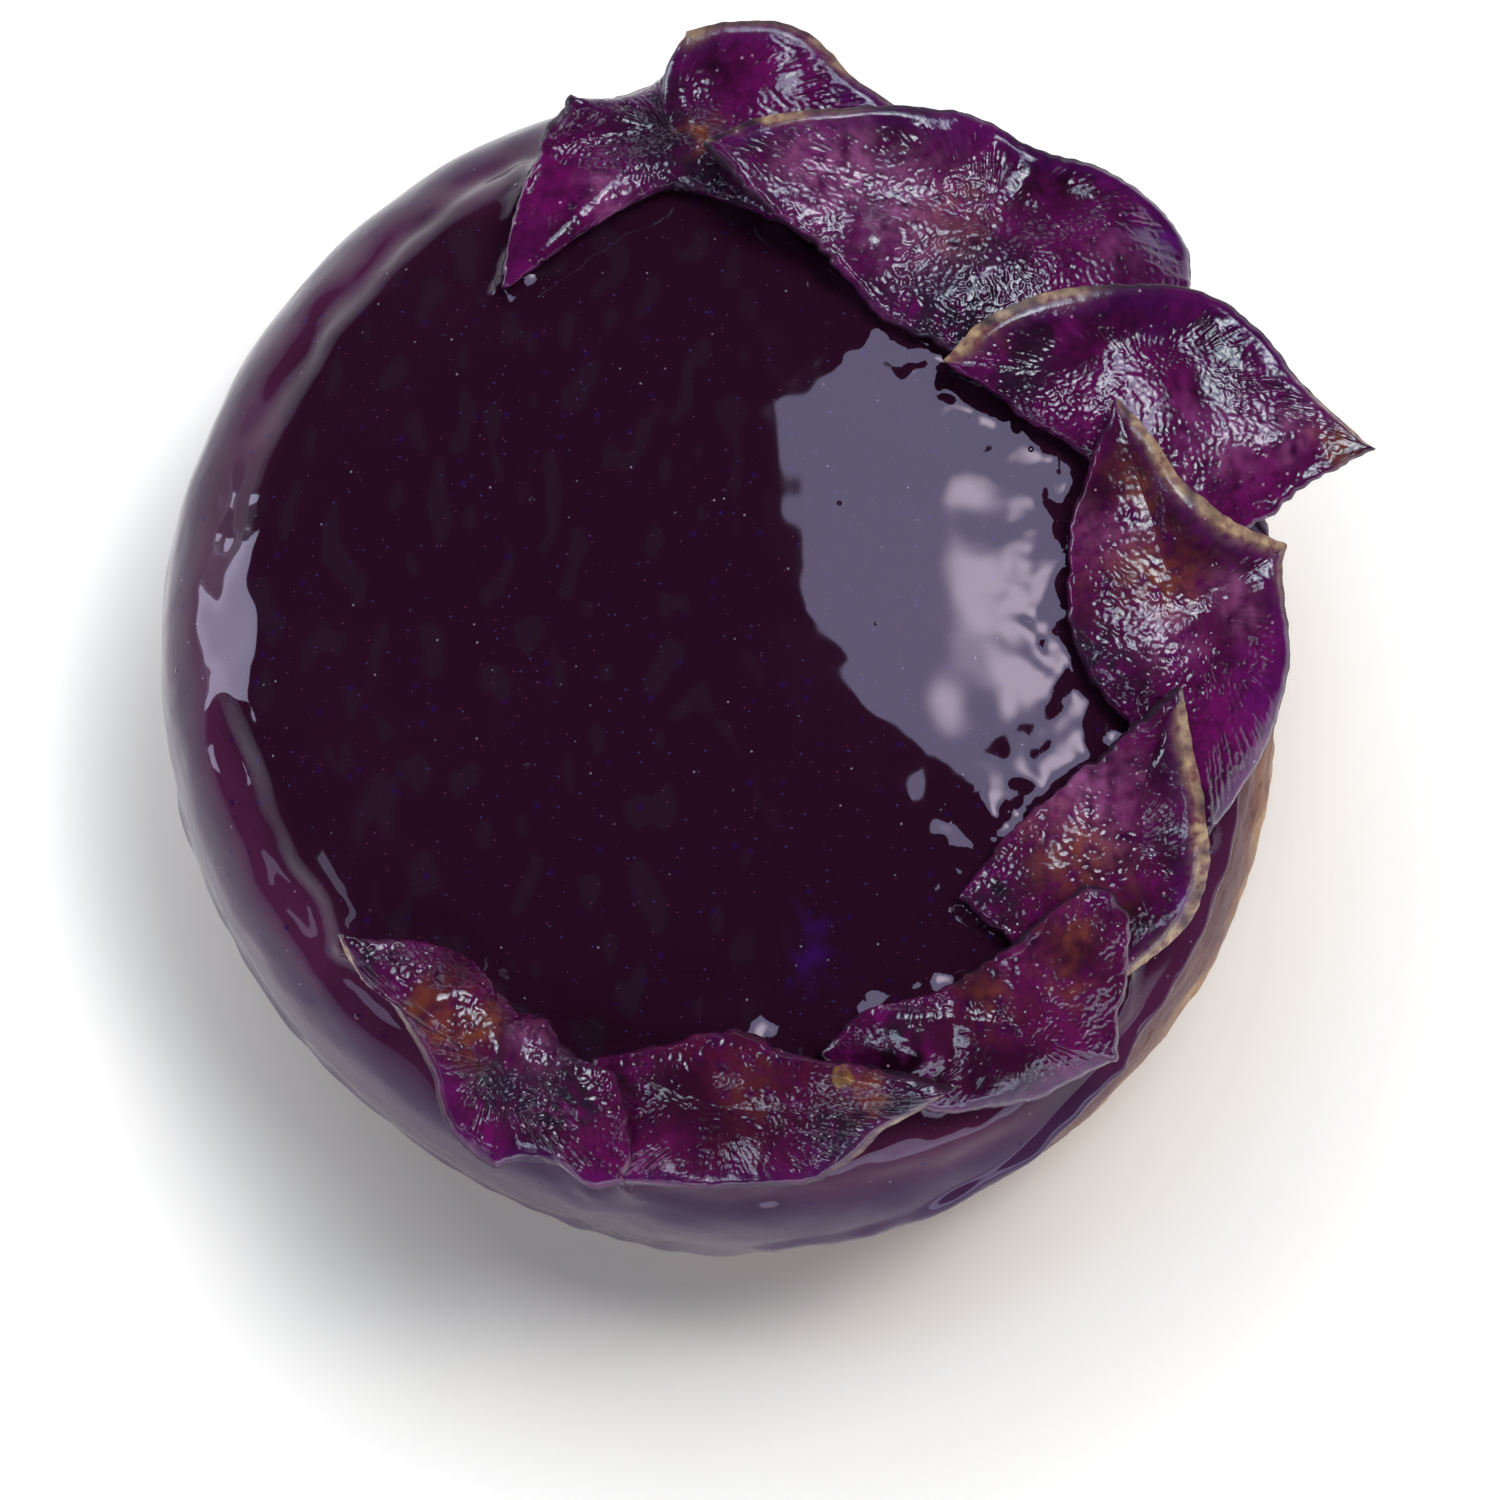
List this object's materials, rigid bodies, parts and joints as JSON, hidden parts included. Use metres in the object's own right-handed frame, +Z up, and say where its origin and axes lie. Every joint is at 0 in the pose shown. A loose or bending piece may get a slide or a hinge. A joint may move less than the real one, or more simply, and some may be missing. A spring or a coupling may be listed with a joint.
{
  "type": "glazed doughnut",
  "caption": "Round doughnut without a hole, with mirror-smooth dark purple glaze and curled purple sweet potato crisps shingled round one side of its rim.",
  "frame": {"origin": "middle of the doughnut's flat underside, on the surface it rests on", "axes": "+Z up out of the glazed top, +X towards the middle of the row of crisps, -Y towards the viewer's side"},
  "size_m": [0.0937, 0.0929, 0.0416],
  "materials": {
    "fried_dough": "fried golden brown crust, paler at the side, dull with a little oil",
    "sugar_glaze": "dark aubergine mirror glaze, wet-looking and very glossy",
    "sweet_potato": "fried purple flesh with a blistered oily sheen and a thin tan peel on the curved edges"
  },
  "bodies": {
    "root": {"dough": "fried_dough", "glaze": "sugar_glaze", "slice_1": "sweet_potato", "slice_2": "sweet_potato", "slice_3": "sweet_potato", "slice_4": "sweet_potato", "slice_5": "sweet_potato", "slice_6": "sweet_potato", "slice_7": "sweet_potato", "slice_8": "sweet_potato"}
  },
  "joints": []
}
